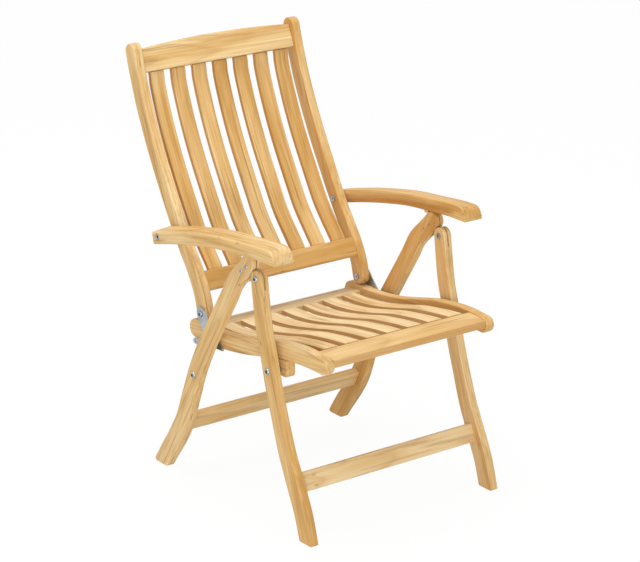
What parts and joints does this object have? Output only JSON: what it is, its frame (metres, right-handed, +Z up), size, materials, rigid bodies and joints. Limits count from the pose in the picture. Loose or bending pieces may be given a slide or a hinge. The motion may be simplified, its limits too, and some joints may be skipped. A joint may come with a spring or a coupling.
{
  "type": "folding armchair",
  "caption": "Folding teak armchair with a slatted seat, a slatted high back that reclines, crossed curved legs, stretchers and arched arms, joined by metal bolts, plates and links.",
  "frame": {"origin": "on the floor, under the centre of the chair's bounding box in the open pose", "axes": "+Z up, the front of the chair towards -Y, +X to the right when seen from the front"},
  "size_m": [0.6012, 0.7986, 1.0167],
  "materials": {
    "teak": "oiled satin wood with fine straight grain",
    "fittings": "satin metal"
  },
  "bodies": {
    "rear_legs": {"rear_leg_right": "teak", "rear_leg_left": "teak", "rear_stretcher": "teak", "apex_plate_right": "fittings", "apex_plate_left": "fittings", "apex_plate_screw_1_right": "fittings", "apex_plate_screw_1_left": "fittings", "apex_plate_screw_2_right": "fittings", "apex_plate_screw_2_left": "fittings", "link_bolt_right": "fittings", "link_bolt_left": "fittings"},
    "front_legs": {"front_leg_right": "teak", "front_leg_left": "teak", "front_stretcher": "teak", "apex_bolt_right": "fittings", "apex_bolt_left": "fittings"},
    "seat": {"seat_rail_right": "teak", "seat_rail_left": "teak", "seat_front_rail": "teak", "seat_rear_rail": "teak", "seat_slat_1": "teak", "seat_slat_2": "teak", "seat_slat_3": "teak", "seat_slat_4": "teak", "seat_slat_5": "teak", "seat_slat_6": "teak", "seat_slat_7": "teak", "seat_pivot_block_right": "teak", "seat_pivot_block_left": "teak", "back_bracket_right": "fittings", "back_bracket_left": "fittings", "seat_pivot_bolt_right": "fittings", "seat_pivot_bolt_left": "fittings", "seat_pivot_spacer_right": "fittings", "seat_pivot_spacer_left": "fittings", "bracket_screw_1_right": "fittings", "bracket_screw_1_left": "fittings", "bracket_screw_2_right": "fittings", "bracket_screw_2_left": "fittings"},
    "back": {"back_stile_right": "teak", "back_stile_left": "teak", "back_top_rail": "teak", "back_bottom_rail": "teak", "back_slat_1": "teak", "back_slat_2": "teak", "back_slat_3": "teak", "back_slat_4": "teak", "back_slat_5": "teak", "back_slat_6": "teak", "back_slat_7": "teak", "back_pivot_bolt_right": "fittings", "back_pivot_bolt_left": "fittings", "arm_pivot_bolt_right": "fittings", "arm_pivot_bolt_left": "fittings"},
    "arm_right": {"armrest_right": "teak", "arm_catch_right": "teak"},
    "arm_left": {"armrest_left": "teak", "arm_catch_left": "teak"},
    "link_right": {"fold_link_right": "fittings"},
    "link_left": {"fold_link_left": "fittings"}
  },
  "joints": [
    {"name": "fold", "type": "hinge", "parent": "rear_legs", "child": "front_legs", "pos_m": [0, -0.1774, 0.5864], "axis": [1, 0, 0], "range_deg": [0, 46]},
    {"name": "seat_turn", "type": "hinge", "parent": "front_legs", "child": "seat", "pos_m": [0, -0.2215, 0.377], "axis": [1, 0, 0], "range_deg": [-82, 0]},
    {"name": "back_turn", "type": "hinge", "parent": "seat", "child": "back", "pos_m": [0, 0.0924, 0.41929], "axis": [1, 0, 0], "range_deg": [0, 102]},
    {"name": "arm_lift_right", "type": "hinge", "parent": "back", "child": "arm_right", "pos_m": [0.258, 0.18985, 0.59629], "axis": [1, 0, 0], "range_deg": [-120, 0]},
    {"name": "arm_lift_left", "type": "hinge", "parent": "back", "child": "arm_left", "pos_m": [-0.258, 0.18985, 0.59629], "axis": [1, 0, 0], "range_deg": [-120, 0]},
    {"name": "link_turn_right", "type": "hinge", "parent": "rear_legs", "child": "link_right", "pos_m": [0.2524, 0.08142, 0.276], "axis": [1, 0, 0], "range_deg": [-117, 0]},
    {"name": "link_turn_left", "type": "hinge", "parent": "rear_legs", "child": "link_left", "pos_m": [-0.2524, 0.08142, 0.276], "axis": [1, 0, 0], "range_deg": [-117, 0]}
  ],
  "couplings": [
    {"joint": "seat_turn", "follows": "fold", "ratio": -1.78},
    {"joint": "back_turn", "follows": "fold", "ratio": 2.2},
    {"joint": "arm_lift_right", "follows": "fold", "ratio": -2.6},
    {"joint": "arm_lift_left", "follows": "fold", "ratio": -2.6},
    {"joint": "link_turn_right", "follows": "fold", "ratio": -2.53},
    {"joint": "link_turn_left", "follows": "fold", "ratio": -2.53}
  ]
}
